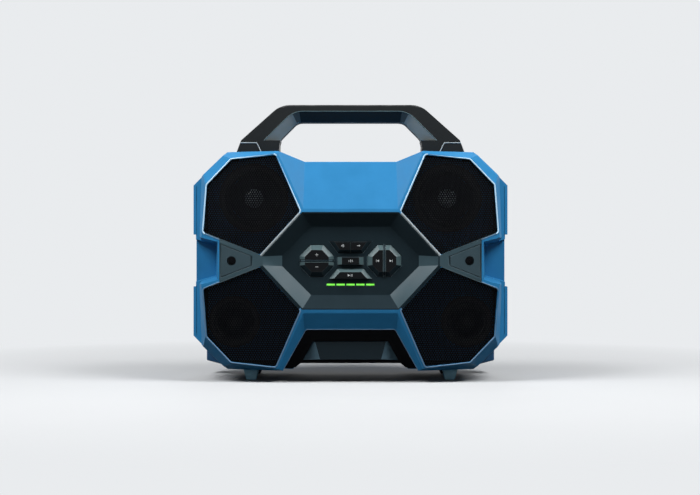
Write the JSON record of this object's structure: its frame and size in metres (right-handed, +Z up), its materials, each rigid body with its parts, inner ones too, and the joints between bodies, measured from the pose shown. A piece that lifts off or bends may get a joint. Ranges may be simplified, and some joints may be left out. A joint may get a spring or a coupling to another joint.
{
  "type": "job site speaker",
  "caption": "Rugged cordless speaker with a faceted front, perforated corner grilles, a central control dish, a fixed carry handle and a battery bay behind a latched rear door.",
  "frame": {"origin": "on the floor under the middle of the part", "axes": "+Z up, the front looks along -Y, +X to the right of someone who faces the front"},
  "size_m": [0.362, 0.1916, 0.319],
  "materials": {
    "body_blue": "satin moulded",
    "dark_plastic": "fine grain",
    "black_plastic": "textured",
    "button_plastic": "satin",
    "cover_plastic": "satin",
    "grille_metal": "black powder coat",
    "black_rubber": "matt",
    "guard_rubber": "matt",
    "foot_rubber": "matt",
    "cone_black": "matt",
    "steel": "plain",
    "board": "solder mask",
    "light_green": "lit light pipe",
    "terminal_brass": "plain"
  },
  "bodies": {
    "body": {"front_bezel": "body_blue", "rear_housing": "body_blue", "housing_seal": "black_rubber", "control_fascia": "dark_plastic", "wing_cover_left": "cover_plastic", "wing_cover_right": "cover_plastic", "wing_screws": "steel", "grille_upper_left": "grille_metal", "grille_upper_right": "grille_metal", "grille_lower_left": "grille_metal", "grille_lower_right": "grille_metal", "speaker_baffle": "body_blue", "upper_driver_frame_left": "black_plastic", "upper_driver_frame_right": "black_plastic", "lower_driver_frame_left": "black_plastic", "lower_driver_frame_right": "black_plastic", "cone_surrounds": "black_rubber", "driver_magnets": "steel", "chin_surround": "black_plastic", "chin_block": "dark_plastic", "handle_front_shell": "black_plastic", "handle_rear_shell": "black_plastic", "handle_socket_left": "black_plastic", "handle_socket_right": "black_plastic", "handle_screws": "steel", "front_foot_left": "foot_rubber", "front_foot_right": "foot_rubber", "rear_foot_left": "foot_rubber", "rear_foot_right": "foot_rubber", "corner_guard_left": "guard_rubber", "corner_guard_right": "guard_rubber", "control_board": "board", "button_switches": "steel", "level_lights": "light_green", "battery_tray": "black_plastic", "battery_pack": "dark_plastic", "battery_terminals": "terminal_brass", "door_seal": "black_rubber", "door_hinge_pin": "steel", "latch_pin": "steel", "flap_anchor": "black_rubber", "socket_panel": "dark_plastic", "amplifier_board": "board", "housing_screws": "steel"},
    "volume_up_button": {"volume_up_button": "button_plastic"},
    "volume_down_button": {"volume_down_button": "button_plastic"},
    "previous_button": {"previous_button": "button_plastic"},
    "next_button": {"next_button": "button_plastic"},
    "pairing_button": {"pairing_button": "button_plastic"},
    "source_button": {"source_button": "button_plastic"},
    "mode_button": {"mode_button": "button_plastic"},
    "play_button": {"play_button": "button_plastic"},
    "upper_cone_left": {"upper_cone_left": "cone_black"},
    "upper_cone_right": {"upper_cone_right": "cone_black"},
    "lower_cone_left": {"lower_cone_left": "cone_black"},
    "lower_cone_right": {"lower_cone_right": "cone_black"},
    "battery_door": {"battery_door": "body_blue"},
    "door_latch": {"door_latch": "black_plastic"},
    "port_flap": {"port_flap": "black_rubber"}
  },
  "joints": [
    {"name": "volume_up_button_press", "type": "slide", "parent": "body", "child": "volume_up_button", "axis": [0, 1, 0], "range_m": [0, 0.001], "stiffness_N_per_m": 300},
    {"name": "volume_down_button_press", "type": "slide", "parent": "body", "child": "volume_down_button", "axis": [0, 1, 0], "range_m": [0, 0.001], "stiffness_N_per_m": 300},
    {"name": "previous_button_press", "type": "slide", "parent": "body", "child": "previous_button", "axis": [0, 1, 0], "range_m": [0, 0.001], "stiffness_N_per_m": 300},
    {"name": "next_button_press", "type": "slide", "parent": "body", "child": "next_button", "axis": [0, 1, 0], "range_m": [0, 0.001], "stiffness_N_per_m": 300},
    {"name": "pairing_button_press", "type": "slide", "parent": "body", "child": "pairing_button", "axis": [0, 1, 0], "range_m": [0, 0.001], "stiffness_N_per_m": 300},
    {"name": "source_button_press", "type": "slide", "parent": "body", "child": "source_button", "axis": [0, 1, 0], "range_m": [0, 0.001], "stiffness_N_per_m": 300},
    {"name": "mode_button_press", "type": "slide", "parent": "body", "child": "mode_button", "axis": [0, 1, 0], "range_m": [0, 0.001], "stiffness_N_per_m": 300},
    {"name": "play_button_press", "type": "slide", "parent": "body", "child": "play_button", "axis": [0, 1, 0], "range_m": [0, 0.001], "stiffness_N_per_m": 300},
    {"name": "upper_cone_left_stroke", "type": "slide", "parent": "body", "child": "upper_cone_left", "axis": [0, 1, 0], "range_m": [-0.0025, 0.0025], "stiffness_N_per_m": 500},
    {"name": "upper_cone_right_stroke", "type": "slide", "parent": "body", "child": "upper_cone_right", "axis": [0, 1, 0], "range_m": [-0.0025, 0.0025], "stiffness_N_per_m": 500},
    {"name": "lower_cone_left_stroke", "type": "slide", "parent": "body", "child": "lower_cone_left", "axis": [0, 1, 0], "range_m": [-0.0025, 0.0025], "stiffness_N_per_m": 500},
    {"name": "lower_cone_right_stroke", "type": "slide", "parent": "body", "child": "lower_cone_right", "axis": [0, 1, 0], "range_m": [-0.0025, 0.0025], "stiffness_N_per_m": 500},
    {"name": "battery_door_hinge", "type": "hinge", "parent": "body", "child": "battery_door", "pos_m": [-0.069, 0.0889, 0.118], "axis": [0, 0, 1], "range_deg": [0, 110]},
    {"name": "door_latch_hinge", "type": "hinge", "parent": "body", "child": "door_latch", "pos_m": [0.073, 0.0889, 0.118], "axis": [0, 0, -1], "range_deg": [0, 95]},
    {"name": "port_flap_hinge", "type": "hinge", "parent": "body", "child": "port_flap", "pos_m": [0.112, 0.0858, 0.232], "axis": [1, 0, 0], "range_deg": [0, 110]}
  ]
}
